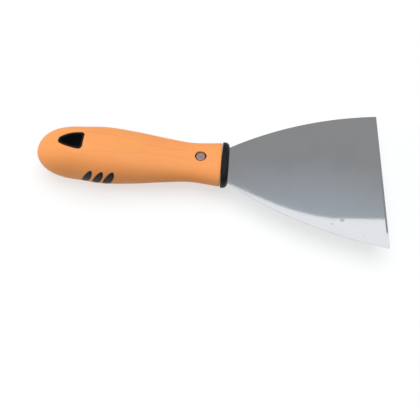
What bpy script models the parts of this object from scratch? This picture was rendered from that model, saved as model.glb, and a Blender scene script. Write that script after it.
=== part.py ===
"""Flexible putty knife: a ground steel blade riveted into a soft-grip handle.

The origin is the middle of the blade's working edge. +X points out of the
handle through that edge, +Y runs across the blade, and +Z leaves the blade's
upper face. Places along the handle are given as a distance behind the
collar's front face.
"""

import math

import bmesh
import bpy
from mathutils import Matrix, Vector

MM = 0.001
GAP = 0.3 * MM  # clearance that touching pieces keep

# Blade
BLADE_LENGTH = 100.0 * MM  # working edge to the collar
EDGE_WIDTH = 100.0 * MM
NECK_WIDTH = 27.4 * MM
FLANK_ANGLE = math.radians(32.3)  # of the flank to the axis, at the neck
FLANK_STEPS = 14
HEEL_THICKNESS = 0.8 * MM
EDGE_THICKNESS = 0.5 * MM
GRIND_START = 70.0 * MM  # behind the edge, where the taper begins
NECK_DEPTH = 3.0 * MM  # how far the full neck enters the collar
TANG_WIDTH = 15.0 * MM
TANG_REACH = 34.0 * MM  # behind the collar's front face
TANG_STEPS = 8

# Handle: (behind the collar's front face, half width, half thickness)
HANDLE_END = 123.3 * MM
BUTT_ROUND = 27.0 * MM  # length of the rounded butt
HANDLE_STATIONS = (
    (4.8 * MM, 15.2 * MM, 8.8 * MM),
    (24.0 * MM, 13.55 * MM, 8.4 * MM),
    (40.0 * MM, 14.9 * MM, 10.0 * MM),
    (60.0 * MM, 17.15 * MM, 12.8 * MM),
    (80.0 * MM, 18.3 * MM, 14.9 * MM),
    (100.0 * MM, 16.55 * MM, 15.2 * MM),
    (HANDLE_END, 19.0 * MM, 14.0 * MM),
)
SQUARENESS = 2.4  # exponent of the handle's cross-section; 2 is an ellipse
RING_POINTS = 40
BUTT_RINGS = 6
BUTT_FIRST_TURN = math.radians(3.0)  # keeps the last ring off the pole
BODY_RINGS = 15
GRIP_WALL = 2.8 * MM

# Collar
COLLAR_LENGTH = 4.5 * MM
COLLAR_HALF_WIDTH = 15.9 * MM
COLLAR_HALF_THICKNESS = 9.4 * MM
COLLAR_ROUND = 3.0 * MM
COLLAR_ROUND_STEPS = 4
SPIGOT_HALF_WIDTH = 9.2 * MM
SPIGOT_HALF_THICKNESS = 3.4 * MM
SPIGOT_LENGTH = 4.0 * MM

# Hang hole: a rounded triangle with bowed flanks, its narrow end towards the butt
HOLE_TIP = 107.5 * MM
HOLE_BASE = 91.6 * MM
HOLE_WIDTH = 12.5 * MM
HOLE_TIP_RADIUS = 3.0 * MM
HOLE_CORNER_RADIUS = 2.2 * MM
HOLE_FLANK_RADIUS = 28.0 * MM
HOLE_ARC_STEPS = 5
LINER_WALL = 1.3 * MM

# Grip inlays, slanted leaves that wrap round the -Y side: (behind the front face, width)
INLAYS = ((75.3 * MM, 4.8 * MM), (82.1 * MM, 4.4 * MM), (88.9 * MM, 4.0 * MM))
INLAY_MIDDLE_HEIGHT = -1.4 * MM
INLAY_LENGTH = 17.2 * MM
INLAY_SLANT = math.radians(26.5)
INLAY_POINTS = 20

# Rivet: a headed pin pressed into a headed sleeve
RIVET_BEHIND = 18.1 * MM
RIVET_HEAD_RADIUS = 3.0 * MM
RIVET_HEAD_TOP = 7.9 * MM
RIVET_HEAD_HEIGHT = 2.8 * MM
RIVET_RECESS_RADIUS = 3.7 * MM
PIN_RADIUS = 1.4 * MM
SLEEVE_RADIUS = 2.1 * MM
SLEEVE_BORE = 1.7 * MM
RIVET_OVERLAP = 3.0 * MM  # reach of pin and sleeve past the blade
RIVET_SEGMENTS = 24

TOOL_REACH = 60.0 * MM  # length of a cutter that has to pass right through

COLLAR_FRONT = -BLADE_LENGTH
GRIP_FRONT_BEHIND = COLLAR_LENGTH + GAP


def clear_scene():
    """Remove whatever the scene holds."""
    for scene_object in list(bpy.data.objects):
        bpy.data.objects.remove(scene_object, do_unlink=True)


def material(name, colour, roughness, metallic=0.0):
    """A Principled BSDF material."""
    made = bpy.data.materials.new(name)
    made.use_nodes = True
    shader = made.node_tree.nodes["Principled BSDF"]
    shader.inputs["Base Color"].default_value = (*colour, 1.0)
    shader.inputs["Roughness"].default_value = roughness
    shader.inputs["Metallic"].default_value = metallic
    return made


def add_object(name, bm, finish=None, smooth_angle=30.0):
    """Turn a bmesh into a smooth-shaded object; without a finish it is a hidden cutter."""
    bmesh.ops.recalc_face_normals(bm, faces=bm.faces)
    mesh = bpy.data.meshes.new(name)
    bm.to_mesh(mesh)
    bm.free()
    mesh.shade_smooth()
    mesh.set_sharp_from_angle(angle=math.radians(smooth_angle))
    made = bpy.data.objects.new(name, mesh)
    bpy.context.scene.collection.objects.link(made)
    if finish is None:
        made.hide_render = True
        made.display_type = "WIRE"
    else:
        mesh.materials.append(finish)
    return made


def combine(target, tool, operation="DIFFERENCE"):
    """Add an exact Boolean of the tool to the target."""
    boolean = target.modifiers.new(f"{operation.lower()} {tool.name}", "BOOLEAN")
    boolean.operation = operation
    boolean.solver = "EXACT"
    boolean.object = tool


def station_value(behind, column):
    """Smooth curve through one column of the handle's stations."""
    places = [station[0] for station in HANDLE_STATIONS]
    values = [station[column] for station in HANDLE_STATIONS]
    last = len(places) - 1

    def slope(index):
        low, high = max(index - 1, 0), min(index + 1, last)
        return (values[high] - values[low]) / (places[high] - places[low])

    index = min(max(sum(place <= behind for place in places) - 1, 0), last - 1)
    span = places[index + 1] - places[index]
    t = (behind - places[index]) / span
    rise = values[index + 1] - values[index]
    start, end = slope(index) * span, slope(index + 1) * span
    curve = (start + end - 2 * rise) * t**3 + (3 * rise - 2 * start - end) * t**2 + start * t
    return values[index] + curve


def butt_factor(behind):
    """How much of the full section is left in the rounded butt."""
    into_butt = max(behind - (HANDLE_END - BUTT_ROUND), 0.0) / BUTT_ROUND
    return math.sqrt(max(1.0 - into_butt**2, 0.0))


def oval_ring(bm, x, half_width, half_thickness):
    """Edges of one closed superellipse ring across the X axis."""
    verts = []
    for index in range(RING_POINTS):
        angle = 2 * math.pi * (index + 0.5) / RING_POINTS
        across, up = math.cos(angle), math.sin(angle)
        y = half_width * math.copysign(abs(across) ** (2 / SQUARENESS), across)
        z = half_thickness * math.copysign(abs(up) ** (2 / SQUARENESS), up)
        verts.append(bm.verts.new((x, y, z)))
    return [bm.edges.new((verts[i - 1], verts[i])) for i in range(RING_POINTS)]


def loft(bm, rings):
    """Bridge the rings in order and close both ends."""
    for first, second in zip(rings, rings[1:]):
        bmesh.ops.bridge_loops(bm, edges=first + second)
    for end in (rings[0], rings[-1]):
        bmesh.ops.contextual_create(bm, geom=end)


def handle_body(inset, front_behind):
    """The handle's outer form, moved in by an inset, from the butt to a front place."""
    bm = bmesh.new()
    rings = []
    butt_start = HANDLE_END - BUTT_ROUND
    for step in range(BUTT_RINGS):
        turn = BUTT_FIRST_TURN + (math.pi / 2 - BUTT_FIRST_TURN) * step / BUTT_RINGS
        reach = (BUTT_ROUND - inset) * math.cos(turn)
        full = butt_factor(butt_start + BUTT_ROUND * math.cos(turn))
        behind = butt_start + reach
        rings.append(body_ring(bm, behind, full, inset))
    for step in range(BODY_RINGS + 1):
        behind = butt_start + (front_behind - butt_start) * step / BODY_RINGS
        rings.append(body_ring(bm, behind, 1.0, inset))
    loft(bm, rings)
    return bm


def body_ring(bm, behind, full, inset):
    """One ring of the handle, with the inset taken off its half sizes."""
    half_width = (station_value(behind, 1) - inset) * full
    half_thickness = (station_value(behind, 2) - inset) * full
    return oval_ring(bm, COLLAR_FRONT - behind, half_width, half_thickness)


def prism(outline, axis, low, high):
    """Closed prism over an outline in the plane across 'Y' or 'Z', from low to high."""
    bm = bmesh.new()
    if axis == "Z":
        verts = [bm.verts.new((x, y, low)) for x, y in outline]
        travel = Vector((0.0, 0.0, high - low))
    else:
        verts = [bm.verts.new((x, low, z)) for x, z in outline]
        travel = Vector((0.0, high - low, 0.0))
    base = bm.faces.new(verts)
    extruded = bmesh.ops.extrude_face_region(bm, geom=[base], use_keep_orig=True)
    moved = [item for item in extruded["geom"] if isinstance(item, bmesh.types.BMVert)]
    bmesh.ops.translate(bm, verts=moved, vec=travel)
    return bm


def cylinder(radius, low, high, centre_x):
    """Closed cylinder along Z."""
    bm = bmesh.new()
    place = Matrix.Translation((centre_x, 0.0, (low + high) / 2))
    bmesh.ops.create_cone(
        bm,
        cap_ends=True,
        segments=RIVET_SEGMENTS,
        radius1=radius,
        radius2=radius,
        depth=high - low,
        matrix=place,
    )
    return bm


def slot(half_width, half_thickness, low_x, high_x):
    """Closed box about the X axis."""
    bm = bmesh.new()
    size = Vector((high_x - low_x, 2 * half_width, 2 * half_thickness))
    place = Matrix.Translation(((low_x + high_x) / 2, 0.0, 0.0))
    bmesh.ops.create_cube(bm, size=1.0, matrix=place @ Matrix.Diagonal((*size, 1.0)))
    return bm


def half_thickness_at(x):
    """Half the blade's thickness at a place along it."""
    ground = min(max((x + GRIND_START) / GRIND_START, 0.0), 1.0)
    return (HEEL_THICKNESS + (EDGE_THICKNESS - HEEL_THICKNESS) * ground) / 2


def blade_upper_outline():
    """The blade's +Y side from the tang's end to the working edge."""
    chord = Vector((BLADE_LENGTH, (EDGE_WIDTH - NECK_WIDTH) / 2))
    half_turn = FLANK_ANGLE - math.atan2(chord.y, chord.x)
    radius = chord.length / (2 * math.sin(half_turn))
    tang_radius = TANG_WIDTH / 2
    tang_centre = COLLAR_FRONT - TANG_REACH + tang_radius
    points = []
    for step in range(1, TANG_STEPS + 1):
        angle = math.pi / 2 * step / TANG_STEPS
        points.append((tang_centre - tang_radius * math.cos(angle), tang_radius * math.sin(angle)))
    points.append((COLLAR_FRONT - NECK_DEPTH, TANG_WIDTH / 2))
    points.append((COLLAR_FRONT - NECK_DEPTH, NECK_WIDTH / 2))
    for step in range(FLANK_STEPS + 1):
        angle = FLANK_ANGLE - 2 * half_turn * step / FLANK_STEPS
        x = COLLAR_FRONT + radius * (math.sin(FLANK_ANGLE) - math.sin(angle))
        y = NECK_WIDTH / 2 + radius * (math.cos(angle) - math.cos(FLANK_ANGLE))
        points.append((x, y))
    return points


def blade(finish):
    """Spring steel blade, taper ground to its edge, with a riveted tang."""
    upper = blade_upper_outline()
    lower = [(x, -y) for x, y in reversed(upper)]
    tang_end = [(COLLAR_FRONT - TANG_REACH, 0.0)]
    unit_half = 1.0  # scaled to the sheet's half thickness once the ground line is cut
    bm = prism(tang_end + upper + lower, "Z", -unit_half, unit_half)
    for place in (-GRIND_START, COLLAR_FRONT):
        whole = bm.verts[:] + bm.edges[:] + bm.faces[:]
        bmesh.ops.bisect_plane(bm, geom=whole, plane_co=(place, 0, 0), plane_no=(1, 0, 0))
    for vert in bm.verts:
        vert.co.z *= half_thickness_at(vert.co.x)
    made = add_object("blade", bm, finish)
    rivet_hole = cylinder(SLEEVE_RADIUS + GAP, -TOOL_REACH, TOOL_REACH, COLLAR_FRONT - RIVET_BEHIND)
    combine(made, add_object("cut_tang_hole", rivet_hole))


def collar(finish):
    """Front collar with a spigot behind it and a slot that the blade passes through."""
    bm = bmesh.new()
    rings = []
    back = COLLAR_FRONT - COLLAR_LENGTH
    rings.append(oval_ring(bm, back, COLLAR_HALF_WIDTH, COLLAR_HALF_THICKNESS))
    for step in range(COLLAR_ROUND_STEPS + 1):
        turn = math.pi / 2 * step / COLLAR_ROUND_STEPS
        shrink = COLLAR_ROUND * (1 - math.cos(turn))
        x = COLLAR_FRONT - COLLAR_ROUND * (1 - math.sin(turn))
        rings.append(oval_ring(bm, x, COLLAR_HALF_WIDTH - shrink, COLLAR_HALF_THICKNESS - shrink))
    loft(bm, rings)
    made = add_object("collar", bm, finish)
    spigot = slot(
        SPIGOT_HALF_WIDTH,
        SPIGOT_HALF_THICKNESS,
        back - SPIGOT_LENGTH,
        COLLAR_FRONT - COLLAR_ROUND,
    )
    combine(made, add_object("join_spigot", spigot), "UNION")
    thick = HEEL_THICKNESS / 2 + GAP
    neck_back = COLLAR_FRONT - NECK_DEPTH - GAP
    neck = slot(NECK_WIDTH / 2 + GAP, thick, neck_back, COLLAR_FRONT + COLLAR_LENGTH)
    tang = slot(TANG_WIDTH / 2 + GAP, thick, back - TOOL_REACH, COLLAR_FRONT - NECK_DEPTH / 2)
    combine(made, add_object("cut_neck_slot", neck))
    combine(made, add_object("cut_collar_tang_slot", tang))


def flank_centre(tip_centre, corner_centre):
    """Middle of the flank arc that both end arcs run into smoothly, for the +Y flank."""
    tip_reach = HOLE_FLANK_RADIUS - HOLE_TIP_RADIUS
    corner_reach = HOLE_FLANK_RADIUS - HOLE_CORNER_RADIUS
    apart = corner_centre - tip_centre
    along = (apart.length_squared + tip_reach**2 - corner_reach**2) / (2 * apart.length)
    aside = math.sqrt(tip_reach**2 - along**2)
    direction = apart.normalized()
    return tip_centre + direction * along + Vector((direction.y, -direction.x)) * aside


def arc(centre, radius, start, end):
    """Points of one arc, in the order of growing steps."""
    points = []
    for step in range(HOLE_ARC_STEPS + 1):
        angle = start + (end - start) * step / HOLE_ARC_STEPS
        points.append((centre.x + radius * math.cos(angle), centre.y + radius * math.sin(angle)))
    return points


def hole_outline(grow):
    """Rounded triangle of the hang hole, grown outwards by a distance."""
    tip_centre = Vector((COLLAR_FRONT - HOLE_TIP + HOLE_TIP_RADIUS, 0.0))
    base_x = COLLAR_FRONT - HOLE_BASE - HOLE_CORNER_RADIUS
    corner_centre = Vector((base_x, HOLE_WIDTH / 2 - HOLE_CORNER_RADIUS))
    middle = flank_centre(tip_centre, corner_centre)
    to_tip, to_corner = tip_centre - middle, corner_centre - middle
    tip_angle = math.atan2(to_tip.y, to_tip.x)
    corner_angle = math.atan2(to_corner.y, to_corner.x)
    half = arc(corner_centre, HOLE_CORNER_RADIUS + grow, 0.0, corner_angle)
    half += arc(middle, HOLE_FLANK_RADIUS + grow, corner_angle, tip_angle)[1:-1]
    half += arc(tip_centre, HOLE_TIP_RADIUS + grow, tip_angle, math.pi)
    return half + [(x, -y) for x, y in reversed(half[:-1])]


def hole_prism(name, grow):
    """Cutter along Z over the hang hole's outline."""
    return add_object(name, prism(hole_outline(grow), "Z", -TOOL_REACH, TOOL_REACH))


def inlay_prism(name, behind, width, grow):
    """Cutter along Y over one slanted leaf, on the -Y side only."""
    outline = []
    for index in range(INLAY_POINTS):
        angle = 2 * math.pi * index / INLAY_POINTS
        along = (INLAY_LENGTH / 2 + grow) * math.cos(angle)
        across = (width / 2 + grow) * math.sin(angle)
        x = along * math.sin(INLAY_SLANT) + across * math.cos(INLAY_SLANT)
        z = along * math.cos(INLAY_SLANT) - across * math.sin(INLAY_SLANT)
        outline.append((COLLAR_FRONT - behind + x, INLAY_MIDDLE_HEIGHT + z))
    return add_object(name, prism(outline, "Y", -TOOL_REACH, -GRIP_WALL))


def rivet_recess(name, radius, floor, side):
    """Cutter for the round recess over one rivet head; side is 1 above, -1 below."""
    low, high = sorted((side * floor, side * TOOL_REACH))
    return add_object(name, cylinder(radius, low, high, COLLAR_FRONT - RIVET_BEHIND))


def handle_core(finish):
    """Inner handle that grips the tang, with a pocket for the collar's spigot."""
    made = add_object("handle_core", handle_body(GRIP_WALL + GAP, GRIP_FRONT_BEHIND), finish)
    front = COLLAR_FRONT - GRIP_FRONT_BEHIND
    tang_end = COLLAR_FRONT - TANG_REACH - GAP
    tang = slot(TANG_WIDTH / 2 + GAP, HEEL_THICKNESS / 2 + GAP, tang_end, COLLAR_FRONT)
    combine(made, add_object("cut_tang_slot", tang))
    pocket_end = front - SPIGOT_LENGTH
    pocket = slot(SPIGOT_HALF_WIDTH + GAP, SPIGOT_HALF_THICKNESS + GAP, pocket_end, COLLAR_FRONT)
    combine(made, add_object("cut_spigot_pocket", pocket))
    bore = cylinder(SLEEVE_RADIUS + GAP, -TOOL_REACH, TOOL_REACH, COLLAR_FRONT - RIVET_BEHIND)
    combine(made, add_object("cut_rivet_bore", bore))
    seat = RIVET_HEAD_TOP - RIVET_HEAD_HEIGHT - GAP
    for label, side in (("top", 1), ("bottom", -1)):
        combine(made, rivet_recess(f"cut_core_seat_{label}", RIVET_RECESS_RADIUS, seat, side))
    combine(made, hole_prism("cut_core_hole", GAP))


def grip_shell(finish):
    """Soft outer grip, open at the front, with windows for the liner, inlays and rivet."""
    made = add_object("grip_shell", handle_body(0.0, GRIP_FRONT_BEHIND), finish)
    hollow = handle_body(GRIP_WALL, GRIP_FRONT_BEHIND - GRIP_WALL)
    combine(made, add_object("cut_grip_hollow", hollow))
    combine(made, hole_prism("cut_grip_hole", GAP))
    for index, (behind, width) in enumerate(INLAYS, start=1):
        combine(made, inlay_prism(f"cut_inlay_window_{index}", behind, width, GAP))
    for label, side in (("top", 1), ("bottom", -1)):
        combine(made, rivet_recess(f"cut_recess_{label}", RIVET_RECESS_RADIUS, 0.0, side))


def hang_hole_liner(finish):
    """Sleeve through the handle that lines the hang hole, flush with the grip."""
    column = prism(hole_outline(0.0), "Z", -TOOL_REACH, TOOL_REACH)
    made = add_object("hang_hole_liner", column, finish)
    combine(made, add_object("trim_liner", handle_body(0.0, GRIP_FRONT_BEHIND)), "INTERSECT")
    combine(made, hole_prism("cut_liner_bore", -LINER_WALL))


def grip_inlay(index, behind, width, finish):
    """One inlay, as thick as the grip's wall and flush with it."""
    made = inlay_prism(f"grip_inlay_{index}", behind, width, 0.0)
    made.hide_render = False
    made.display_type = "TEXTURED"
    made.data.materials.append(finish)
    outside = handle_body(0.0, GRIP_FRONT_BEHIND)
    inside = handle_body(GRIP_WALL, GRIP_FRONT_BEHIND)
    combine(made, add_object(f"trim_inlay_{index}", outside), "INTERSECT")
    combine(made, add_object(f"cut_inlay_back_{index}", inside))


def rivet_pin(finish):
    """Upper rivet half: a flat head on a solid pin."""
    centre_x = COLLAR_FRONT - RIVET_BEHIND
    head_floor = RIVET_HEAD_TOP - RIVET_HEAD_HEIGHT
    head = cylinder(RIVET_HEAD_RADIUS, head_floor, RIVET_HEAD_TOP, centre_x)
    made = add_object("rivet_pin", head, finish)
    pin = cylinder(PIN_RADIUS, -RIVET_OVERLAP, head_floor + RIVET_HEAD_HEIGHT / 2, centre_x)
    combine(made, add_object("join_pin", pin), "UNION")


def rivet_sleeve(finish):
    """Lower rivet half: a flat head on a tube that the pin fills."""
    centre_x = COLLAR_FRONT - RIVET_BEHIND
    head_floor = RIVET_HEAD_TOP - RIVET_HEAD_HEIGHT
    head = cylinder(RIVET_HEAD_RADIUS, -RIVET_HEAD_TOP, -head_floor, centre_x)
    made = add_object("rivet_sleeve", head, finish)
    tube = cylinder(SLEEVE_RADIUS, -head_floor - RIVET_HEAD_HEIGHT / 2, RIVET_OVERLAP, centre_x)
    combine(made, add_object("join_tube", tube), "UNION")
    bore = cylinder(SLEEVE_BORE, -RIVET_OVERLAP - GAP, TOOL_REACH, centre_x)
    combine(made, add_object("cut_sleeve_bore", bore))


def build():
    """Make every piece of the knife."""
    clear_scene()
    steel = material("ground_steel", (0.56, 0.58, 0.60), 0.28, 1.0)
    rivet_steel = material("rivet_steel", (0.52, 0.49, 0.47), 0.35, 1.0)
    core = material("core_plastic", (0.03, 0.03, 0.032), 0.5)
    black = material("black_plastic", (0.02, 0.022, 0.025), 0.45)
    orange = material("orange_grip", (0.93, 0.39, 0.12), 0.6)
    blade(steel)
    handle_core(core)
    collar(black)
    grip_shell(orange)
    hang_hole_liner(black)
    for index, (behind, width) in enumerate(INLAYS, start=1):
        grip_inlay(index, behind, width, black)
    rivet_pin(rivet_steel)
    rivet_sleeve(rivet_steel)


build()
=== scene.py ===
"""Looks of a flexible putty knife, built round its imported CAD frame.

The origin is the middle of the working edge, +X leaves the handle through that
edge, +Y runs across the blade and +Z leaves the blade's upper face. Places
along the handle are distances behind the collar's front face.
"""

import logging
import math
from collections.abc import Sequence
from dataclasses import dataclass
from enum import Enum

import bmesh
import bpy
import numpy as np
from bmesh.types import BMesh, BMVert
from bpy.types import Material, Node, NodeSocket, Object
from mathutils import Matrix, Vector


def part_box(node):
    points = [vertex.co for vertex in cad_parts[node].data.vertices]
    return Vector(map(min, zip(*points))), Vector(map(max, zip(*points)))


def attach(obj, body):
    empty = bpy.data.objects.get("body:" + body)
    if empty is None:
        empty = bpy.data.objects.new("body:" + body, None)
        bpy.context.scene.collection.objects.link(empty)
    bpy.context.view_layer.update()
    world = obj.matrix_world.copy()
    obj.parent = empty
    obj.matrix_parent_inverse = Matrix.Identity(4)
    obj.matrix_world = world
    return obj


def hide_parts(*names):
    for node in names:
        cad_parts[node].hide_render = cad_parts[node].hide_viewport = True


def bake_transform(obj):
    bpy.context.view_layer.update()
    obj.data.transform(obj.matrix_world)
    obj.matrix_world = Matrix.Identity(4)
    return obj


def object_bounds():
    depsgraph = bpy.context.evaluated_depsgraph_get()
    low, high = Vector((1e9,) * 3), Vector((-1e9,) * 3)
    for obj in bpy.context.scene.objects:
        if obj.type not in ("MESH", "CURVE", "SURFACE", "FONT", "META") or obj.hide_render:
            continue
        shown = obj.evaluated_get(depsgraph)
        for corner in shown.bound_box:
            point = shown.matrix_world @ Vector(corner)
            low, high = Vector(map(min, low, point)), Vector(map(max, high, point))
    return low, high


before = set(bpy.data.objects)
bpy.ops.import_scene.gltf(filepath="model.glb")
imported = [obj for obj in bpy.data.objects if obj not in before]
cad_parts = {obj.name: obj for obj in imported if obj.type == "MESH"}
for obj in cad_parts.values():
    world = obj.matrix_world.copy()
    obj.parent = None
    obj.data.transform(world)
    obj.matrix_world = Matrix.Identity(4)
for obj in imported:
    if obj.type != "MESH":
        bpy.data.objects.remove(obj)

CAD_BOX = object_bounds()

MM = 0.001
MERGE = 0.001 * MM
SQUARENESS = 2.4  # exponent of the handle's and the collar's section; 2 is an ellipse
LEAF_WIDTHS = (4.8 * MM, 4.4 * MM, 4.0 * MM)
LOG = logging.getLogger("putty_knife")

Colour = tuple[float, float, float]
Place = tuple[float, float, float]
Sizes = tuple[float, ...]
Pairs = tuple[tuple[float, float], ...]


class Face(Enum):
    """The knife's two faces, by the sign of Z."""

    UPPER = 1
    LOWER = -1


class Body(Enum):
    """The CAD bodies that pieces ride on."""

    HANDLE = "handle"
    BLADE = "blade"


def in_metres(*millimetres: float) -> Sizes:
    """Turn sizes in millimetres into metres."""
    return tuple(size * MM for size in millimetres)


def quarter_turns(steps: int) -> list[float]:
    """Angles from nought to a right angle, in equal steps."""
    return [math.pi / 2 * step / steps for step in range(steps + 1)]


def rounded_corner(steps: int) -> list[tuple[float, float]]:
    """Points of a quarter circle of radius 1, as distances from its corner."""
    return [(1 - math.cos(turn), 1 - math.sin(turn)) for turn in quarter_turns(steps)]


def smoothsteps(values: np.ndarray) -> np.ndarray:
    """Ease an array of values from 0 to 1."""
    t = np.clip(values, 0.0, 1.0)
    return t * t * (3.0 - 2.0 * t)


def smooth_curve(places: Sequence[float], values: Sequence[float], place: float) -> float:
    """Read a smooth curve that passes through given values.

    Args:
        places: Rising places of the known values.
        values: The known values.
        place: Where to read the curve.

    Returns:
        The curve's value, with slopes taken from each value's neighbours.
    """
    last = len(places) - 1

    def slope(index: int) -> float:
        """Slope of the curve at one known value."""
        low, high = max(index - 1, 0), min(index + 1, last)
        return (values[high] - values[low]) / (places[high] - places[low])

    index = min(max(sum(known <= place for known in places) - 1, 0), last - 1)
    span = places[index + 1] - places[index]
    t = (place - places[index]) / span
    rise = values[index + 1] - values[index]
    start, end = slope(index) * span, slope(index + 1) * span
    bend = (start + end - 2 * rise) * t**3 + (3 * rise - 2 * start - end) * t**2 + start * t
    return values[index] + bend


def outline_distance(points: np.ndarray, outline: Sequence[tuple[float, float]]) -> np.ndarray:
    """Measure how far points lie from a closed outline.

    Args:
        points: Array of shape (n, 2).
        outline: Corners of the outline, in order.

    Returns:
        Distances, negative inside the outline.
    """
    corners = np.array(outline, float)
    ends = np.roll(corners, -1, axis=0)
    best = np.full(len(points), np.inf)
    inside = np.zeros(len(points), bool)
    for corner, end in zip(corners, ends):
        edge = end - corner
        offset = points - corner
        along = np.clip(offset @ edge / (edge @ edge), 0.0, 1.0)
        best = np.minimum(best, np.hypot(*(offset - along[:, None] * edge).T))
        if corner[1] != end[1]:
            crosses = (corner[1] > points[:, 1]) != (end[1] > points[:, 1])
            reach = edge[0] * (points[:, 1] - corner[1]) / edge[1] + corner[0]
            inside ^= crosses & (points[:, 0] < reach)
    return np.where(inside, -best, best)


def signed_power(value: float, power: float) -> float:
    """Power of a value's size, with the value's sign."""
    return math.copysign(abs(value) ** power, value)


def oval_side(share: float) -> float:
    """Height of the section's side at a share of its width, both from 0 to 1."""
    return (1.0 - min(share, 1.0) ** SQUARENESS) ** (1.0 / SQUARENESS)


def oval_loop(x: float, half_width: float, half_thickness: float, around: int) -> list[Vector]:
    """Points of one superellipse across the X axis.

    Args:
        x: Place along the X axis.
        half_width: Half size along Y.
        half_thickness: Half size along Z.
        around: How many points.

    Returns:
        The points, in order.
    """
    points = []
    for index in range(around):
        angle = 2.0 * math.pi * index / around
        y = half_width * signed_power(math.cos(angle), 2.0 / SQUARENESS)
        z = half_thickness * signed_power(math.sin(angle), 2.0 / SQUARENESS)
        points.append(Vector((x, y, z)))
    return points


def wrapped_skin(loops: Sequence[Sequence[Vector]]) -> BMesh:
    """Wrap a grid round a run of loops.

    Args:
        loops: Loops of equally many points. A loop whose points coincide
            becomes a pole, and a last loop equal to the first closes a ring.

    Returns:
        A closed bmesh that faces outwards.
    """
    rows, columns = len(loops) - 1, len(loops[0])
    bm = bmesh.new()
    bmesh.ops.create_grid(bm, x_segments=columns, y_segments=rows, size=1.0)
    for vert in bm.verts:
        column = round((vert.co.x + 1.0) / 2.0 * columns) % columns
        row = round((vert.co.y + 1.0) / 2.0 * rows)
        vert.co = loops[row][column]
    bmesh.ops.remove_doubles(bm, verts=bm.verts, dist=MERGE)
    bmesh.ops.recalc_face_normals(bm, faces=bm.faces)
    return bm


def object_from(name: str, bm: BMesh, sharp_degrees: float = 35.0) -> Object:
    """Turn a bmesh into a smooth-shaded object at the origin.

    Args:
        name: The object's name.
        bm: The mesh, which is freed.
        sharp_degrees: Edges that turn by more than this stay sharp.

    Returns:
        The new object, in the scene.
    """
    mesh = bpy.data.meshes.new(name)
    bm.to_mesh(mesh)
    bm.free()
    mesh.shade_smooth()
    mesh.set_sharp_from_angle(angle=math.radians(sharp_degrees))
    made = bpy.data.objects.new(name, mesh)
    bpy.context.scene.collection.objects.link(made)
    return made


def carve(target: Object, tool: BMesh) -> None:
    """Cut a tool's shape out of an object and drop the tool.

    Args:
        target: The object that changes.
        tool: The cutter's mesh, which is freed.
    """
    cutter = object_from("carving_tool", tool)
    boolean = target.modifiers.new("carve", "BOOLEAN")
    boolean.operation = "DIFFERENCE"
    boolean.solver = "EXACT"
    boolean.object = cutter
    bpy.context.view_layer.update()
    evaluated = target.evaluated_get(bpy.context.evaluated_depsgraph_get())
    carved = bpy.data.meshes.new_from_object(evaluated)
    target.modifiers.clear()
    carved.name = target.name
    target.data = carved
    bpy.data.objects.remove(cutter, do_unlink=True)


def prism(points: Sequence[Vector], travel: Vector) -> BMesh:
    """Extrude a flat outline into a closed solid.

    Args:
        points: The outline's corners.
        travel: How far the outline moves.

    Returns:
        The solid, facing outwards.
    """
    bm = bmesh.new()
    base = bm.faces.new([bm.verts.new(point) for point in points])
    extruded = bmesh.ops.extrude_face_region(bm, geom=[base], use_keep_orig=True)
    moved = [item for item in extruded["geom"] if isinstance(item, BMVert)]
    bmesh.ops.translate(bm, verts=moved, vec=travel)
    bmesh.ops.recalc_face_normals(bm, faces=bm.faces)
    return bm


def cylinder(radius: float, reach: float, centre_x: float, segments: int) -> BMesh:
    """Closed cylinder along Z that reaches equally far above and below."""
    bm = bmesh.new()
    place = Matrix.Translation((centre_x, 0.0, 0.0))
    size = {"segments": segments, "radius1": radius, "radius2": radius, "depth": 2 * reach}
    bmesh.ops.create_cone(bm, cap_ends=True, matrix=place, **size)
    return bm


def block(low: Vector, high: Vector) -> BMesh:
    """Closed box between two corners."""
    bm = bmesh.new()
    place = Matrix.Translation((low + high) / 2) @ Matrix.Diagonal((*(high - low), 1.0))
    bmesh.ops.create_cube(bm, size=1.0, matrix=place)
    return bm


def register(piece: Object, material: Material, nodes: Sequence[str], body: Body) -> Object:
    """Dress a piece, log it, hide the CAD nodes that it replaces and hang handle pieces on the handle's
    body.

    Args:
        piece: The finished piece.
        material: Its finish.
        nodes: CAD nodes that the piece replaces.
        body: The CAD body that carries it.

    Returns:
        The same piece.
    """
    piece.data.materials.clear()
    piece.data.materials.append(material)
    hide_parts(*nodes)
    if body is Body.HANDLE:
        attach(piece, body.value)
    LOG.info("%s: %d faces", piece.name, len(piece.data.polygons))
    return piece


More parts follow.
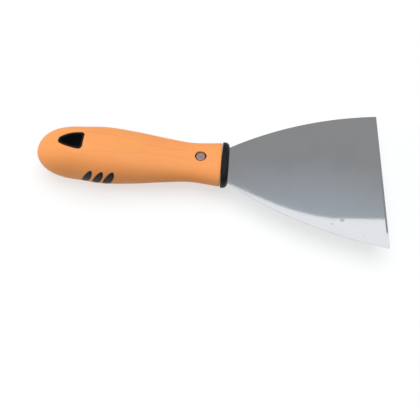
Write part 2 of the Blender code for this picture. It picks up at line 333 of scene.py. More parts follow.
class Graph:
    """A material's node tree, with short calls to add and join nodes."""

    def __init__(self, name: str) -> None:
        """Start an empty material around a Principled shader."""
        self.material = bpy.data.materials.new(name)
        self.material.use_nodes = True
        self.tree = self.material.node_tree
        self.shader = self.tree.nodes["Principled BSDF"]
        self.coordinates = self.add("ShaderNodeTexCoord").outputs["Object"]

    def add(self, kind: str, inputs: dict | None = None, **settings: object) -> Node:
        """Add a node.

        Args:
            kind: The node's type name.
            inputs: Values or sockets for its inputs, by name or number.
            **settings: Values of the node's own properties.

        Returns:
            The node.
        """
        node = self.tree.nodes.new(kind)
        for name, value in settings.items():
            setattr(node, name, value)
        for key, value in (inputs or {}).items():
            self.feed(node.inputs[key], value)
        return node

    def feed(self, socket: NodeSocket, value: object) -> None:
        """Link a socket into another, or set its value."""
        if isinstance(value, NodeSocket):
            self.tree.links.new(value, socket)
        else:
            socket.default_value = value

    def set(self, **inputs: object) -> None:
        """Set or link the shader's inputs; underscores stand for spaces."""
        for name, value in inputs.items():
            self.feed(self.shader.inputs[name.replace("_", " ")], value)

    def noise(self, scale: float, detail: float, stretch: Place = (1.0, 1.0, 1.0)) -> NodeSocket:
        """Noise from 0 to 1 over object coordinates, with scale in features per metre."""
        mapping = self.add("ShaderNodeMapping", {"Vector": self.coordinates, "Scale": stretch})
        inputs = {"Vector": mapping.outputs["Vector"], "Scale": scale, "Detail": detail}
        return self.add("ShaderNodeTexNoise", inputs).outputs["Fac"]

    def math(self, operation: str, first: object, second: object = 0.0) -> NodeSocket:
        """One arithmetic step; returns its value socket."""
        return self.add("ShaderNodeMath", {0: first, 1: second}, operation=operation).outputs[0]

    def span(self, value: object, low: float, high: float, to_low: float, to_high: float) -> NodeSocket:
        """Map a value from one range to another, held at the ends."""
        inputs = {"Value": value, "From Min": low, "From Max": high, "To Min": to_low, "To Max": to_high}
        return self.add("ShaderNodeMapRange", inputs, clamp=True).outputs["Result"]

    def mix(self, share: object, first: Colour, second: Colour) -> NodeSocket:
        """Blend two colours by a share that varies over the surface."""
        node = self.add("ShaderNodeMix", {"Factor": share}, data_type="RGBA")
        for key, colour in (("A", first), ("B", second)):
            self.feed(node.inputs[key], colour if isinstance(colour, NodeSocket) else (*colour, 1.0))
        return next(output for output in node.outputs if output.type == "RGBA")

    def bump(self, height: object, strength: float, distance: float, below: object = None) -> NodeSocket:
        """Bump from a height; below is a normal that it adds to."""
        inputs = {"Height": height, "Strength": strength, "Distance": distance}
        if below is not None:
            inputs["Normal"] = below
        return self.add("ShaderNodeBump", inputs).outputs["Normal"]


@dataclass(frozen=True)
class Panel:
    """Shallow panel along both faces of the grip, with a thin crease at its edge."""

    places: Sizes = in_metres(24.0, 44.0, 53.0, 62.0, 78.0, 92.0)
    half_widths: Sizes = in_metres(2.85, 2.95, 3.25, 5.3, 6.6, 7.7)
    depth: float = 0.1 * MM
    edge: float = 0.3 * MM
    crease: float = 0.4 * MM
    least_height: float = 5.0 * MM
    front_end: float = 22.0 * MM
    front_ease: float = 6.0 * MM
    back_end: float = 93.0 * MM
    back_ease: float = 3.0 * MM

    def pressed(self, behind: np.ndarray, y: np.ndarray) -> np.ndarray:
        """How far the panel is pressed in, at places behind the collar and across."""
        half_width = np.interp(behind, self.places, self.half_widths)
        begun = smoothsteps((behind - self.front_end) / self.front_ease)
        ends = begun * smoothsteps((self.back_end - behind) / self.back_ease)
        return self.depth * smoothsteps((half_width - np.abs(y)) / self.edge + 0.5) * ends


@dataclass(frozen=True)
class SoftGripFinish:
    """Matte soft-touch rubber with a fine spark-eroded grain, and painted shade along the panel's crease."""

    panel: Panel
    collar_front: float
    colour: Colour = (0.9, 0.322, 0.083)
    worn_colour: Colour = (0.915, 0.34, 0.092)
    # Darker orange for the crease line: painted shade in the crease.
    crease_shade_colour: Colour = (0.83, 0.278, 0.068)
    parting_line: float = 0.12 * MM

    def crease(self, graph: Graph, x: object, across: object, height: object) -> NodeSocket:
        """Find the thin crease along the panel's edges, which gets painted shade in its colour and a bump.

        Args:
            graph: The material's node tree.
            x: Place along the knife.
            across: Distance from the middle plane, without sign.
            height: Distance above or below the blade's plane, without sign.

        Returns:
            A socket that is 1 in the crease and 0 away from it.
        """
        panel = self.panel
        first, last = panel.places[0], panel.places[-1]
        along = graph.span(x, self.collar_front - last, self.collar_front - first, 1.0, 0.0)
        curve = graph.add("ShaderNodeFloatCurve", {"Value": along})
        points = curve.mapping.curves[0].points
        widest = max(panel.half_widths)
        for place, half_width in zip(panel.places[1:-1], panel.half_widths[1:-1]):
            points.new((place - first) / (last - first), half_width / widest)
        points[0].location = (0.0, panel.half_widths[0] / widest)
        points[-1].location = (1.0, panel.half_widths[-1] / widest)
        curve.mapping.update()
        half_width = graph.math("MULTIPLY", curve.outputs["Value"], widest)
        away = graph.math("ABSOLUTE", graph.math("SUBTRACT", across, half_width))
        line = graph.span(away, 0.0, panel.crease, 1.0, 0.0)
        begun = graph.span(along, 0.0, 0.04, 0.0, 1.0)
        inside = graph.math("MULTIPLY", begun, graph.span(along, 0.97, 1.0, 1.0, 0.0))
        raised = graph.span(height, panel.least_height, panel.least_height + MM, 0.0, 1.0)
        return graph.math("MULTIPLY", line, graph.math("MULTIPLY", inside, raised))

    def build(self) -> Material:
        """Build the material."""
        graph = Graph("soft_grip")
        cloudy = graph.noise(45.0, 4.0)
        grain = graph.noise(2600.0, 2.0)
        pores = graph.noise(900.0, 3.0)
        place = graph.add("ShaderNodeSeparateXYZ", {"Vector": graph.coordinates})
        height = graph.math("ABSOLUTE", place.outputs["Z"])
        across = graph.math("ABSOLUTE", place.outputs["Y"])
        crease = self.crease(graph, place.outputs["X"], across, height)
        skin = graph.mix(graph.span(cloudy, 0.35, 0.65, 0.0, 1.0), self.colour, self.worn_colour)
        # The crease mask darkens the base colour here: painted shade in the crease.
        graph.set(Base_Color=graph.mix(crease, skin, self.crease_shade_colour))
        graph.set(Roughness=graph.span(pores, 0.3, 0.7, 0.5, 0.62))
        graph.set(Specular_IOR_Level=0.35, Sheen_Weight=0.06, Sheen_Roughness=0.5)
        seam = graph.span(height, 0.0, self.parting_line, 1.0, 0.0)
        soft = graph.bump(graph.math("ADD", grain, pores), 0.22, 0.05 * MM)
        joined = graph.bump(seam, 0.35, 0.06 * MM, soft)
        graph.set(Normal=graph.bump(graph.math("SUBTRACT", 1.0, crease), 0.35, 0.06 * MM, joined))
        return graph.material


@dataclass(frozen=True)
class MouldedFinish:
    """Black moulded plastic with a satin skin."""

    name: str = "black_plastic"
    colour: Colour = (0.006, 0.0065, 0.007)
    rubbed_colour: Colour = (0.01, 0.0105, 0.011)
    roughness: tuple[float, float] = (0.38, 0.52)
    specular: float = 0.16

    def build(self) -> Material:
        """Build the material."""
        graph = Graph(self.name)
        cloudy = graph.noise(160.0, 3.0)
        grain = graph.noise(3000.0, 2.0)
        rubbed = graph.span(cloudy, 0.4, 0.7, 0.0, 1.0)
        graph.set(Base_Color=graph.mix(rubbed, self.colour, self.rubbed_colour))
        graph.set(Roughness=graph.span(cloudy, 0.3, 0.7, *self.roughness), Specular_IOR_Level=self.specular)
        graph.set(Normal=graph.bump(grain, 0.2, 0.03 * MM))
        return graph.material


@dataclass(frozen=True)
class GroundSteelFinish:
    """Polished sheet steel with faint grinding lines, smudges and spots."""

    colour: Colour = (0.565, 0.57, 0.58)
    dull_colour: Colour = (0.52, 0.53, 0.54)
    line_stretch: Place = (0.02, 1.0, 1.0)
    specks: tuple[Sizes, ...] = (
        in_metres(-76.0, 16.7, 0.5),
        in_metres(-18.3, 37.5, 0.5),
        in_metres(-42.9, 13.6, 0.4),
        in_metres(-39.3, -27.4, 0.6),
        in_metres(-28.1, -33.4, 1.8),
        in_metres(-34.4, -36.8, 0.9),
        in_metres(-15.3, -43.8, 0.7),
    )

    def build(self) -> Material:
        """Build the material."""
        graph = Graph("ground_steel")
        lines = graph.noise(2200.0, 4.0, self.line_stretch)
        smudges = graph.noise(38.0, 5.0)
        cells = graph.add("ShaderNodeTexVoronoi", {"Vector": graph.coordinates, "Scale": 70.0}, feature="F1")
        spots = graph.span(cells.outputs["Distance"], 0.03, 0.07, 1.0, 0.0)
        dull = graph.span(smudges, 0.5, 0.75, 0.0, 1.0)
        marked = graph.math("MAXIMUM", graph.math("MULTIPLY", spots, 0.6), dull)
        for x, y, radius in self.specks:
            place = {0: graph.coordinates, 1: (x, y, 0.0)}
            away = graph.add("ShaderNodeVectorMath", place, operation="DISTANCE").outputs["Value"]
            marked = graph.math("MAXIMUM", marked, graph.span(away, 0.4 * radius, radius, 3.5, 0.0))
        graph.set(Metallic=1.0, Base_Color=graph.mix(marked, self.colour, self.dull_colour))
        polish = graph.span(lines, 0.3, 0.7, 0.03, 0.05)
        graph.set(Roughness=graph.math("ADD", polish, graph.math("MULTIPLY", marked, 0.05)))
        wavy = graph.bump(graph.noise(24.0, 1.0), 0.04, 0.2 * MM)
        graph.set(Normal=graph.bump(lines, 0.01, 0.02 * MM, wavy))
        return graph.material


@dataclass(frozen=True)
class RivetSteelFinish:
    """Satin steel with turning marks round the rivet's axis, tinted warm by a painted reflection of the
    orange grip.
    """

    centre_x: float
    # Both steel tones carry a warm pink tint: a painted reflection of the orange grip round the rivet.
    colour: Colour = (0.4, 0.305, 0.285)
    dark_colour: Colour = (0.33, 0.25, 0.235)

    def build(self) -> Material:
        """Build the material."""
        graph = Graph("rivet_steel")
        to_axis = {"Vector": graph.coordinates, "Location": (-self.centre_x, 0.0, 0.0)}
        centred = graph.add("ShaderNodeMapping", to_axis)
        rings = graph.add(
            "ShaderNodeTexWave",
            {"Vector": centred.outputs["Vector"], "Scale": 900.0, "Distortion": 1.5},
            wave_type="RINGS",
            rings_direction="Z",
        ).outputs["Fac"]
        stains = graph.noise(500.0, 3.0)
        stained = graph.span(stains, 0.4, 0.7, 0.0, 1.0)
        # Stains mix the two tones; their shared warm tint is a painted reflection of the orange grip.
        graph.set(Metallic=1.0, Base_Color=graph.mix(stained, self.colour, self.dark_colour))
        graph.set(Roughness=graph.span(stains, 0.3, 0.7, 0.3, 0.45))
        graph.set(Normal=graph.bump(rings, 0.15, 0.02 * MM))
        return graph.material


@dataclass(frozen=True)
class HandleForm:
    """Outer form of the handle: a superellipse section that swells to the palm."""

    collar_front: float
    places: Sizes = in_metres(4.8, 24.0, 40.0, 60.0, 80.0, 100.0, 123.3)
    half_widths: Sizes = in_metres(15.2, 13.55, 14.9, 17.15, 18.3, 16.55, 19.0)
    half_thicknesses: Sizes = in_metres(8.8, 8.4, 10.0, 12.8, 14.9, 15.2, 14.0)
    butt_round: float = 27.0 * MM

    @property
    def end(self) -> float:
        """Distance from the collar's front face to the butt."""
        return self.places[-1]

    @property
    def butt_start(self) -> float:
        """Where the rounded butt begins."""
        return self.end - self.butt_round

    def half_sizes(self, behind: float, inset: float = 0.0) -> tuple[float, float]:
        """Half width and half thickness of the section.

        Args:
            behind: Distance behind the collar's front face.
            inset: How far inside the outer form.

        Returns:
            The half width along Y and the half thickness along Z.
        """
        into_butt = max(behind - self.butt_start, 0.0) / (self.butt_round - inset)
        full = math.sqrt(max(1.0 - into_butt**2, 0.0))
        width = smooth_curve(self.places, self.half_widths, behind) - inset
        thickness = smooth_curve(self.places, self.half_thicknesses, behind) - inset
        return width * full, thickness * full

    def loop(self, behind: float, around: int, inset: float = 0.0) -> list[Vector]:
        """One ring of points round the section."""
        half_width, half_thickness = self.half_sizes(behind, inset)
        return oval_loop(self.collar_front - behind, half_width, half_thickness, around)

    def height(self, x: float, y: float) -> float:
        """Height of the upper surface over a point of the middle plane."""
        half_width, half_thickness = self.half_sizes(self.collar_front - x)
        return half_thickness * oval_side(abs(y) / half_width)

    def reach(self, x: float, z: float) -> float:
        """Distance of the side surface from the middle, at a height."""
        half_width, half_thickness = self.half_sizes(self.collar_front - x)
        return half_width * oval_side(abs(z) / half_thickness)


@dataclass(frozen=True)
class HangHole:
    """Rounded triangle with bowed flanks through the butt, narrow towards the end."""

    collar_front: float
    tip: float = 107.5 * MM
    base: float = 91.6 * MM
    width: float = 12.5 * MM
    tip_radius: float = 3.0 * MM
    corner_radius: float = 2.2 * MM
    flank_radius: float = 28.0 * MM
    arc_steps: int = 12

    def flank_centre(self, tip_centre: Vector, corner_centre: Vector) -> Vector:
        """Centre of the +Y flank arc, which both end arcs run into smoothly."""
        tip_reach = self.flank_radius - self.tip_radius
        corner_reach = self.flank_radius - self.corner_radius
        apart = corner_centre - tip_centre
        along = (apart.length_squared + tip_reach**2 - corner_reach**2) / (2 * apart.length)
        aside = math.sqrt(tip_reach**2 - along**2)
        direction = apart.normalized()
        return tip_centre + direction * along + Vector((direction.y, -direction.x)) * aside

    def arc(self, centre: Vector, radius: float, start: float, end: float) -> list[tuple[float, float]]:
        """Points of one arc, from its start angle to its end angle."""
        turns = [start + (end - start) * step / self.arc_steps for step in range(self.arc_steps + 1)]
        return [(centre.x + radius * math.cos(turn), centre.y + radius * math.sin(turn)) for turn in turns]

    def outline(self, grow: float = 0.0) -> list[tuple[float, float]]:
        """The outline in the XY plane, grown outwards by a distance."""
        tip_centre = Vector((self.collar_front - self.tip + self.tip_radius, 0.0))
        base_x = self.collar_front - self.base - self.corner_radius
        corner_centre = Vector((base_x, self.width / 2 - self.corner_radius))
        middle = self.flank_centre(tip_centre, corner_centre)
        to_tip, to_corner = tip_centre - middle, corner_centre - middle
        tip_angle = math.atan2(to_tip.y, to_tip.x)
        corner_angle = math.atan2(to_corner.y, to_corner.x)
        half = self.arc(corner_centre, self.corner_radius + grow, 0.0, corner_angle)
        half += self.arc(middle, self.flank_radius + grow, corner_angle, tip_angle)[1:-1]
        half += self.arc(tip_centre, self.tip_radius + grow, tip_angle, math.pi)
        return half + [(x, -y) for x, y in reversed(half[:-1])]


@dataclass(frozen=True)
class InlayLeaf:
    """Outline of one slanted leaf on the -Y side, seen along Y."""

    centre_x: float
    centre_z: float
    width: float
    length: float = 17.2 * MM
    slant: float = math.radians(26.5)
    points: int = 44

    def outline(self, grow: float = 0.0, share: float = 1.0) -> list[tuple[float, float]]:
        """The outline in the XZ plane, grown by a distance and scaled by a share."""
        made = []
        half_length, half_width = (self.length / 2 + grow) * share, (self.width / 2 + grow) * share
        for index in range(self.points):
            turn = 2.0 * math.pi * index / self.points
            along, across = half_length * math.cos(turn), half_width * math.sin(turn)
            x = self.centre_x + along * math.sin(self.slant) + across * math.cos(self.slant)
            z = self.centre_z + along * math.cos(self.slant) - across * math.sin(self.slant)
            made.append((x, z))
        return made


@dataclass(frozen=True)
class RivetPlace:
    """Where the rivet sits and how large its heads are."""

    centre_x: float
    head_radius: float
    head_top: float
    head_height: float = 2.8 * MM
    recess_radius: float = 3.7 * MM
    pin_shank: float = 1.4 * MM
    sleeve_shank: float = 2.1 * MM
    segments: int = 64


@dataclass(frozen=True)
class Grip:
    """Soft outer shell with its windows, lips and shallow panel."""

    form: HandleForm
    hole: HangHole
    leaves: tuple[InlayLeaf, ...]
    rivet: RivetPlace
    panel: Panel
    around: int = 208
    fine_step: float = 0.42 * MM
    plain_step: float = 0.9 * MM
    wall: float = 2.8 * MM
    gap: float = 0.12 * MM
    lip: float = 0.7 * MM
    front_round: float = 0.9 * MM
    dish_reach: float = 2.4 * MM
    dish_depth: float = 0.18 * MM
    dish_ease: float = 0.9 * MM
    face_ease: float = 4.0 * MM
    side_ease: float = 6.0 * MM
    hole_roll: float = 0.5
    rivet_roll: float = 0.6
    leaf_roll: float = 0.7
    butt_rings: int = 40
    front_rings: int = 6
    inner_rings: int = 16
    fine_near_rivet: float = 6.0 * MM
    fine_behind: float = 66.0 * MM
    cutter_reach: float = 40.0 * MM

    def ring_places(self) -> list[float]:
        """Places of the outer rings, from the butt to the front."""
        turns = quarter_turns(self.butt_rings)[:-1]
        places = [self.form.butt_start + self.form.butt_round * math.cos(turn) for turn in turns]
        behind = self.form.butt_start
        front = self.form.places[0] + self.front_round
        while behind > front:
            places.append(behind)
            from_rivet = abs(behind - (self.form.collar_front - self.rivet.centre_x))
            fine = from_rivet < self.fine_near_rivet or behind > self.fine_behind
            behind -= self.fine_step if fine else self.plain_step
        return places

    def loops(self) -> list[list[Vector]]:
        """Loops of the whole shell: outside, rounded front end and inside."""
        loops = [self.form.loop(place, self.around) for place in self.ring_places()]
        front = self.form.places[0]
        for inset, along in rounded_corner(self.front_rings):
            behind = front + self.front_round * along
            loops.append(self.form.loop(behind, self.around, self.front_round * inset))
        inner_end = self.form.end - self.wall
        for turn in quarter_turns(self.inner_rings):
            behind = front + (inner_end - front) * math.sin(turn)
            loops.append(self.form.loop(min(behind, inner_end), self.around, self.wall))
        return loops

    def depth(self, points: np.ndarray) -> np.ndarray:
        """How far each outer point is pressed in by the grip's details.

        Args:
            points: Array of shape (n, 3), on the plain form.

        Returns:
            The depths, in metres.
        """
        x, y, z = points.T
        behind = self.form.collar_front - x
        facing = smoothsteps(np.abs(z) / self.face_ease)
        hole = outline_distance(points[:, :2], self.hole.outline(self.gap))
        pressed = self.roll(hole, self.hole_roll) * facing
        dish = self.dish_depth * smoothsteps((self.dish_reach - hole) / self.dish_ease) * facing
        pressed += np.maximum(dish, self.panel.pressed(behind, y) * facing)
        rivet = np.hypot(x - self.rivet.centre_x, y) - self.rivet.recess_radius
        pressed += self.roll(rivet, self.rivet_roll) * facing
        side = smoothsteps(-y / self.side_ease)
        for leaf in self.leaves:
            away = outline_distance(points[:, (0, 2)], leaf.outline(self.gap))
            pressed += self.roll(away, self.leaf_roll) * side
        return pressed

    def roll(self, distance: np.ndarray, share: float) -> np.ndarray:
        """Rounded lip towards a window's edge: its depth at a distance from the edge."""
        radius = self.lip * share
        reach = np.clip(1.0 - np.maximum(distance, 0.0) / radius, 0.0, 1.0)
        return radius * 0.5 * (1.0 - np.sqrt(1.0 - reach**2))

    def press(self, bm: BMesh) -> None:
        """Press the details into the outer skin."""
        depths = self.depth(np.array([vert.co for vert in bm.verts]))
        for vert, pressed in zip(bm.verts, depths):
            if pressed < MERGE or self.is_inside(vert.co):
                continue
            width, thickness = self.form.half_sizes(self.form.collar_front - vert.co.x)
            across = signed_power(vert.co.y / width, SQUARENESS - 1) / width
            up = signed_power(vert.co.z / thickness, SQUARENESS - 1) / thickness
            vert.co -= Vector((0.0, across, up)).normalized() * pressed

    def is_inside(self, point: Vector) -> bool:
        """Whether a point belongs to the shell's inner wall."""
        behind = self.form.collar_front - point.x
        width, thickness = self.form.half_sizes(behind, self.wall * 0.7)
        if width < MM or thickness < MM:
            return False
        return abs(point.y / width) ** SQUARENESS + abs(point.z / thickness) ** SQUARENESS < 1.0

    def build(self, material: Material) -> Object:
        """Build and dress the shell."""
        bm = wrapped_skin(self.loops())
        self.press(bm)
        shell = object_from("grip_skin", bm)
        far = self.cutter_reach
        hole = [Vector((x, y, -far)) for x, y in self.hole.outline(self.gap)]
        carve(shell, prism(hole, Vector((0, 0, 2 * far))))
        for leaf in self.leaves:
            window = [Vector((x, -far, z)) for x, z in leaf.outline(self.gap)]
            carve(shell, prism(window, Vector((0, far - self.wall, 0))))
        rivet = self.rivet
        carve(shell, cylinder(rivet.recess_radius, far, rivet.centre_x, rivet.segments))
        return register(shell, material, ["grip_shell"], Body.HANDLE)


@dataclass(frozen=True)
class HoleLiner:
    """Sleeve that lines the hang hole, with rounded mouths."""

    form: HandleForm
    hole: HangHole
    wall: float = 1.3 * MM
    sunk: float = 0.25 * MM
    mouth_round: float = 0.6 * MM
    mouth_steps: int = 6
    skirt_drop: float = 0.25 * MM
    rim: Pairs = ((0.12 * MM, 0.05 * MM), (0.3 * MM, 0.0))
    bore_drops: Sizes = in_metres(2.5, 6.0)

    def build(self, material: Material) -> Object:
        """Build and dress the liner."""
        lower, upper = (self.rim_loop(face, 0.0, self.skirt_drop) for face in (Face.LOWER, Face.UPPER))
        loops = [lower, upper, *self.mouth(Face.UPPER), *reversed(self.mouth(Face.LOWER)), lower]
        liner = object_from("hole_liner", wrapped_skin(loops))
        return register(liner, material, ["hang_hole_liner"], Body.HANDLE)

    def rim_loop(self, face: Face, inwards: float, drop: float) -> list[Vector]:
        """One loop round the hole.

        Args:
            face: Which face of the knife.
            inwards: How far inside the hole's outline.
            drop: How far under the grip's surface.

        Returns:
            The loop's points.
        """
        under, outline = self.sunk + drop, self.hole.outline(-inwards)
        return [Vector((x, y, face.value * (self.form.height(x, y) - under))) for x, y in outline]

    def mouth(self, face: Face) -> list[list[Vector]]:
        """Loops over one rounded mouth, from its outer edge into the bore."""
        loops = [self.rim_loop(face, inwards, drop) for inwards, drop in self.rim]
        flat_end = self.wall - self.mouth_round
        for turn in quarter_turns(self.mouth_steps):
            inwards = flat_end + self.mouth_round * math.sin(turn)
            loops.append(self.rim_loop(face, inwards, self.mouth_round * (1 - math.cos(turn))))
        return loops + [self.rim_loop(face, self.wall, drop) for drop in self.bore_drops]


@dataclass(frozen=True)
class GripInlay:
    """One black leaf let into the grip, slightly domed."""

    name: str
    form: HandleForm
    leaf: InlayLeaf
    thickness: float = 2.5 * MM
    edge_round: float = 0.3 * MM
    face: Pairs = (
        (0.985, 0.1 * MM),
        (0.94, 0.0),
        (0.8, -0.05 * MM),
        (0.5, -0.11 * MM),
        (0.25, -0.15 * MM),
        (0.0, -0.15 * MM),
    )

    def build(self, material: Material) -> Object:
        """Build and dress the inlay."""
        sections = ((0.0, self.thickness), (1.0, self.thickness), (1.0, self.edge_round), *self.face)
        inlay = object_from(f"{self.name}_skin", wrapped_skin([self.loop(*section) for section in sections]))
        return register(inlay, material, [self.name], Body.HANDLE)

    def loop(self, share: float, drop: float) -> list[Vector]:
        """One loop of the leaf, at a share of its size and a depth under the surface."""
        outline = self.leaf.outline(0.0, share)
        return [Vector((x, drop - self.form.reach(x, z), z)) for x, z in outline]


@dataclass(frozen=True)
class Collar:
    """Moulded ring that closes the handle round the blade."""

    low: Vector
    high: Vector
    neck_half_width: float
    neck_half_thickness: float = 0.62 * MM
    length: float = 4.5 * MM
    front_round: float = 3.0 * MM
    back_round: float = 0.5 * MM
    front_steps: int = 12
    back_steps: int = 4
    flat_inset: float = 5.0 * MM
    slot_gap: float = 0.3 * MM
    around: int = 160

    def loops(self) -> list[list[Vector]]:
        """Loops from the middle of the back face to the middle of the front face."""
        half_width, half_thickness = self.high.y, self.high.z
        front = self.high.x
        back = front - self.length
        sections = [(back, half_width), (back, self.back_round)]
        for along, inset in rounded_corner(self.back_steps):
            sections.append((back + self.back_round * along, self.back_round * inset))
        for inset, along in rounded_corner(self.front_steps):
            sections.append((front - self.front_round * along, self.front_round * inset))
        sections += [(front, self.flat_inset), (front, half_width)]
        loops = []
        for x, inset in sections:
            width, thickness = max(half_width - inset, 0.0), max(half_thickness - inset, 0.0)
            loops.append(oval_loop(x, width, thickness, self.around))
        return loops

    def build(self, material: Material) -> Object:
        """Build and dress the collar."""
        ring = object_from("collar_skin", wrapped_skin(self.loops()))
        reach = Vector((self.length * 2, self.neck_half_width + self.slot_gap, self.neck_half_thickness))
        middle = Vector((self.high.x, 0.0, 0.0))
        carve(ring, block(middle - reach, middle + reach))
        return register(ring, material, ["collar"], Body.HANDLE)


@dataclass(frozen=True)
class RivetHalf:
    """One turned rivet half: a chamfered, slightly dished head on its shank."""

    name: str
    face: Face
    place: RivetPlace
    shank_radius: float
    shank_end: float
    chamfer: float = 0.35 * MM
    dish: float = 0.08 * MM

    def build(self, material: Material) -> Object:
        """Build and dress the half by spinning its profile."""
        top, radius = self.place.head_top, self.place.head_radius
        floor = top - self.place.head_height
        profile = (
            (0.0, top - self.dish),
            (radius * 0.5, top - self.dish * 0.7),
            (radius - self.chamfer * 1.6, top),
            (radius - self.chamfer * 0.5, top - self.chamfer * 0.25),
            (radius, top - self.chamfer),
            (radius, floor),
            (self.shank_radius, floor),
            (self.shank_radius, self.shank_end),
            (0.0, self.shank_end),
        )
        bm = bmesh.new()
        verts = [bm.verts.new((self.place.centre_x + r, 0.0, self.face.value * z)) for r, z in profile]
        edges = [bm.edges.new(pair) for pair in zip(verts, verts[1:])]
        bmesh.ops.spin(
            bm,
            geom=verts + edges,
            cent=(self.place.centre_x, 0.0, 0.0),
            axis=(0.0, 0.0, 1.0),
            angle=2 * math.pi,
            steps=self.place.segments,
            use_merge=True,
        )
        bmesh.ops.remove_doubles(bm, verts=bm.verts, dist=MERGE)
        bmesh.ops.recalc_face_normals(bm, faces=bm.faces)
        half = object_from(f"{self.name}_turned", bm, 25.0)
        return register(half, material, [self.name], Body.HANDLE)


@dataclass(frozen=True)
class Blade:
    """Flexible sheet, taper ground to a fine bevel along its working edge."""

    low: Vector
    high: Vector
    heel_x: float
    rivet: RivetPlace
    neck_half_width: float = 13.7 * MM
    flank_angle: float = math.radians(32.3)
    heel_thickness: float = 0.8 * MM
    edge_thickness: float = 0.5 * MM
    grind_length: float = 70.0 * MM
    bevel_length: float = 1.3 * MM
    bevel_thickness: float = 0.22 * MM
    neck_depth: float = 3.0 * MM
    tang_half_width: float = 7.5 * MM
    strip: float = 2.5 * MM
    edge_round: float = 0.07 * MM
    flank_steps: int = 40
    crease_degrees: float = 4.0
    tang_steps: int = 12
    rim_degrees: float = 60.0
    hole_radius: float = 2.4 * MM
    hole_segments: int = 48
    cutter_reach: float = 5.0 * MM
    bending_length: float = 60.0 * MM

    def half_outline(self) -> list[tuple[float, float]]:
        """The +Y side from the tang's end to the working edge."""
        length = self.high.x - self.heel_x
        rise = self.high.y - self.neck_half_width
        chord = math.hypot(length, rise)
        half_turn = self.flank_angle - math.atan2(rise, length)
        radius = chord / (2 * math.sin(half_turn))
        tang_centre = self.low.x + self.tang_half_width
        points = []
        for angle in quarter_turns(self.tang_steps)[1:]:
            x = tang_centre - self.tang_half_width * math.cos(angle)
            points.append((x, self.tang_half_width * math.sin(angle)))
        points.append((self.heel_x - self.neck_depth, self.tang_half_width))
        points.append((self.heel_x - self.neck_depth, self.neck_half_width))
        for step in range(self.flank_steps + 1):
            angle = self.flank_angle - 2 * half_turn * step / self.flank_steps
            x = self.heel_x + radius * (math.sin(self.flank_angle) - math.sin(angle))
            y = self.neck_half_width + radius * (math.cos(angle) - math.cos(self.flank_angle))
            points.append((x, y))
        return points

    def half_thickness(self, x: float) -> float:
        """Half the sheet's thickness at a place along it."""
        ground = min(max((x + self.grind_length) / self.grind_length, 0.0), 1.0)
        sheet = self.heel_thickness + (self.edge_thickness - self.heel_thickness) * ground
        bevelled = min(max((x + self.bevel_length) / self.bevel_length, 0.0), 1.0)
        return (sheet + (self.bevel_thickness - self.edge_thickness) * bevelled) / 2

    def build(self, material: Material) -> Object:
        """Build and dress the blade, cut into strips along its length."""
        upper = self.half_outline()
        outline = [(self.low.x, 0.0), *upper, *((x, -y) for x, y in reversed(upper))]
        bm = prism([Vector((x, y, -1.0)) for x, y in outline], Vector((0.0, 0.0, 2.0)))
        cuts = int((self.high.x - self.heel_x) / self.strip)
        places = [self.heel_x + self.strip * step for step in range(cuts)] + [-self.bevel_length]
        for place in places:
            whole = bm.verts[:] + bm.edges[:] + bm.faces[:]
            bmesh.ops.bisect_plane(bm, geom=whole, plane_co=(place, 0, 0), plane_no=(1, 0, 0), dist=MERGE)
        for vert in bm.verts:
            vert.co.z *= self.half_thickness(vert.co.x)
        sharp = [edge for edge in bm.edges if edge.calc_face_angle(0.0) > math.radians(self.rim_degrees)]
        rims = [edge for edge in sharp if abs(edge.verts[0].co.z - edge.verts[1].co.z) < self.edge_round]
        shape = {"offset": self.edge_round, "affect": "EDGES", "segments": 2, "profile": 0.5}
        bmesh.ops.bevel(bm, geom=rims, material=-1, **shape)
        sheet = object_from("blade_sheet", bm, self.crease_degrees)
        carve(sheet, cylinder(self.hole_radius, self.cutter_reach, self.rivet.centre_x, self.hole_segments))
        register(sheet, material, ["blade"], Body.BLADE)
        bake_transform(sheet)
        return sheet


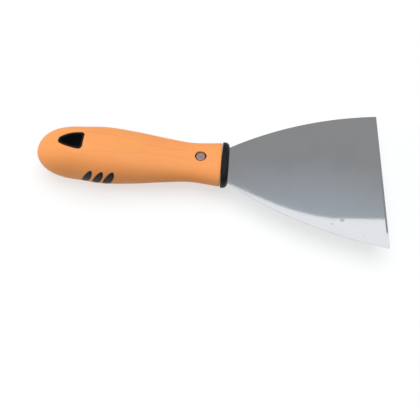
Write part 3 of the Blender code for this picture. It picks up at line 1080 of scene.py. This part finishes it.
@dataclass(frozen=True)
class Studio:
    """Pale floor, soft lights, reflected cards and the camera."""

    floor_height: float
    aim: Vector = Vector((-0.1095, -0.03385, 0.0))
    distance: float = 0.31408
    tilt: float = math.radians(28.487)
    roll: float = math.radians(4.702)
    lens: float = 43.784
    floor_glow: float = 0.58
    floor_size: float = 4.0
    floor_tone: float = 0.41
    lit_point: Place = (-0.1, 0.0, 0.0)
    key_place: Place = (-0.12, 0.22, 1.05)
    key_size: float = 1.3
    key_power: float = 9.3
    butt_place: Place = (-1.25, -0.2, 0.32)
    butt_size: float = 0.5
    butt_power: float = 4.0
    card_height: float = 0.6
    card_near: float = -0.3
    card_colour: Colour = (1.33, 1.35, 1.38)
    card_edge: Pairs = (
        *((-0.6, 0.49), (-0.072, 0.353), (-0.001, 0.324), (0.036, 0.312), (0.068, 0.304)),
        *((0.101, 0.298), (0.135, 0.296), (0.192, 0.300), (0.233, 0.303), (0.6, 0.32)),
    )
    sky_lean: float = 0.18
    sky: tuple[tuple[float, Colour], ...] = ((0.834, (0.42, 0.43, 0.43)), (0.894, (0.57, 0.63, 0.69)))

    def floor(self) -> None:
        """Plain pale floor that glows a little, so shadows stay faint, and is clear from below."""
        bm = bmesh.new()
        place = Matrix.Translation((0.0, 0.0, self.floor_height))
        bmesh.ops.create_grid(bm, x_segments=1, y_segments=1, size=self.floor_size, matrix=place)
        floor = object_from("studio_floor", bm)
        graph = Graph("pale_floor")
        tone = (self.floor_tone, self.floor_tone, self.floor_tone, 1.0)
        graph.set(Base_Color=tone, Roughness=0.9, Specular_IOR_Level=0.1)
        graph.set(Emission_Color=(1.0, 1.0, 1.0, 1.0), Emission_Strength=self.floor_glow)
        side = graph.add("ShaderNodeNewGeometry").outputs["Backfacing"]
        clear = graph.add("ShaderNodeBsdfTransparent").outputs["BSDF"]
        shown = graph.add("ShaderNodeMixShader", {0: side, 1: graph.shader.outputs["BSDF"], 2: clear})
        graph.feed(graph.tree.nodes["Material Output"].inputs["Surface"], shown.outputs["Shader"])
        floor.data.materials.append(graph.material)
        floor.visible_diffuse = False

    def soft_light(self, name: str, place: Place, size: float, power: float) -> None:
        """Add one square light that faces the knife and stays out of reflections.

        Args:
            name: The light's name.
            place: Where it stands.
            size: Length of its side.
            power: Its power in watts.
        """
        data = bpy.data.lights.new(name, "AREA")
        data.size = size
        data.energy = power
        light = bpy.data.objects.new(name, data)
        light.location = place
        towards = Vector(self.lit_point) - Vector(place)
        light.rotation_euler = towards.to_track_quat("-Z", "Y").to_euler()
        light.visible_glossy = False
        bpy.context.scene.collection.objects.link(light)

    def overhead_card(self) -> None:
        """Bright card overhead that shows only in reflections."""
        far_edge = [Vector((x, y, self.card_height)) for x, y in self.card_edge]
        near_edge = [Vector((x, self.card_near, self.card_height)) for x, _ in self.card_edge]
        bm = bmesh.new()
        bm.faces.new([bm.verts.new(point) for point in far_edge + near_edge[::-1]])
        card = object_from("overhead_card", bm)
        graph = Graph("lit_card")
        graph.set(Base_Color=(0.0, 0.0, 0.0, 1.0), Specular_IOR_Level=0.0)
        graph.set(Emission_Color=(*self.card_colour, 1.0), Emission_Strength=1.0)
        card.data.materials.append(graph.material)
        card.visible_camera = False
        card.visible_diffuse = False
        card.visible_shadow = False

    def world(self) -> None:
        """Grey surroundings that brighten towards the zenith."""
        world = bpy.data.worlds.new("studio_surroundings")
        world.use_nodes = True
        bpy.context.scene.world = world
        nodes, links = world.node_tree.nodes, world.node_tree.links
        direction = nodes.new("ShaderNodeTexCoord")
        height = nodes.new("ShaderNodeVectorMath")
        height.operation = "DOT_PRODUCT"
        height.inputs[1].default_value = (self.sky_lean, 0.0, 1.0)
        ramp = nodes.new("ShaderNodeValToRGB")
        for element, (place, colour) in zip(ramp.color_ramp.elements, self.sky):
            element.position = place
            element.color = (*colour, 1.0)
        links.new(direction.outputs["Generated"], height.inputs[0])
        links.new(height.outputs["Value"], ramp.inputs["Fac"])
        links.new(ramp.outputs["Color"], nodes["Background"].inputs["Color"])

    def camera(self) -> None:
        """Camera above the -Y side, looking down on the knife."""
        data = bpy.data.cameras.new("camera")
        data.lens = self.lens
        data.sensor_width = 36.0
        camera = bpy.data.objects.new("camera", data)
        turn = Matrix.Rotation(self.tilt, 4, "X") @ Matrix.Rotation(self.roll, 4, "Z")
        back = turn.to_3x3() @ Vector((0.0, 0.0, 1.0))
        camera.matrix_world = Matrix.Translation(self.aim + back * self.distance) @ turn
        bpy.context.scene.collection.objects.link(camera)
        bpy.context.scene.camera = camera

    def build(self) -> None:
        """Build the whole studio."""
        self.floor()
        self.world()
        self.soft_light("key_light", self.key_place, self.key_size, self.key_power)
        self.soft_light("butt_light", self.butt_place, self.butt_size, self.butt_power)
        self.overhead_card()
        self.camera()
        bpy.context.scene.view_settings.view_transform = "Standard"


def main() -> None:
    """Build every piece of the knife in order, then the studio."""
    logging.basicConfig(level=logging.INFO, format="%(name)s: %(message)s")
    collar_low, collar_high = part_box("collar")
    blade_low, blade_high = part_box("blade")
    pin_low, pin_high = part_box("rivet_pin")
    front = collar_high.x
    form = HandleForm(front)
    hole = HangHole(front)
    leaf_boxes = [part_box(f"grip_inlay_{index}") for index in (1, 2, 3)]
    leaves = tuple(
        InlayLeaf((low.x + high.x) / 2, (low.z + high.z) / 2, width)
        for (low, high), width in zip(leaf_boxes, LEAF_WIDTHS)
    )
    rivet = RivetPlace((pin_low.x + pin_high.x) / 2, (pin_high.x - pin_low.x) / 2, pin_high.z)

    panel = Panel()
    orange = SoftGripFinish(panel, front).build()
    black = MouldedFinish().build()
    steel = GroundSteelFinish().build()
    rivet_steel = RivetSteelFinish(rivet.centre_x).build()

    blade = Blade(blade_low, blade_high, front, rivet)
    blade.build(steel)
    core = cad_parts["handle_core"]
    core.data.materials.clear()
    core.data.materials.append(MouldedFinish("core_plastic").build())
    Collar(collar_low, collar_high, blade.neck_half_width).build(black)
    Grip(form, hole, leaves, rivet, panel).build(orange)
    HoleLiner(form, hole).build(black)
    for index, leaf in enumerate(leaves, start=1):
        GripInlay(f"grip_inlay_{index}", form, leaf).build(black)
    RivetHalf("rivet_pin", Face.UPPER, rivet, rivet.pin_shank, pin_low.z).build(rivet_steel)
    RivetHalf("rivet_sleeve", Face.LOWER, rivet, rivet.sleeve_shank, pin_low.z).build(rivet_steel)
    Studio(CAD_BOX[0][2]).build()


if __name__ == "__main__":
    main()
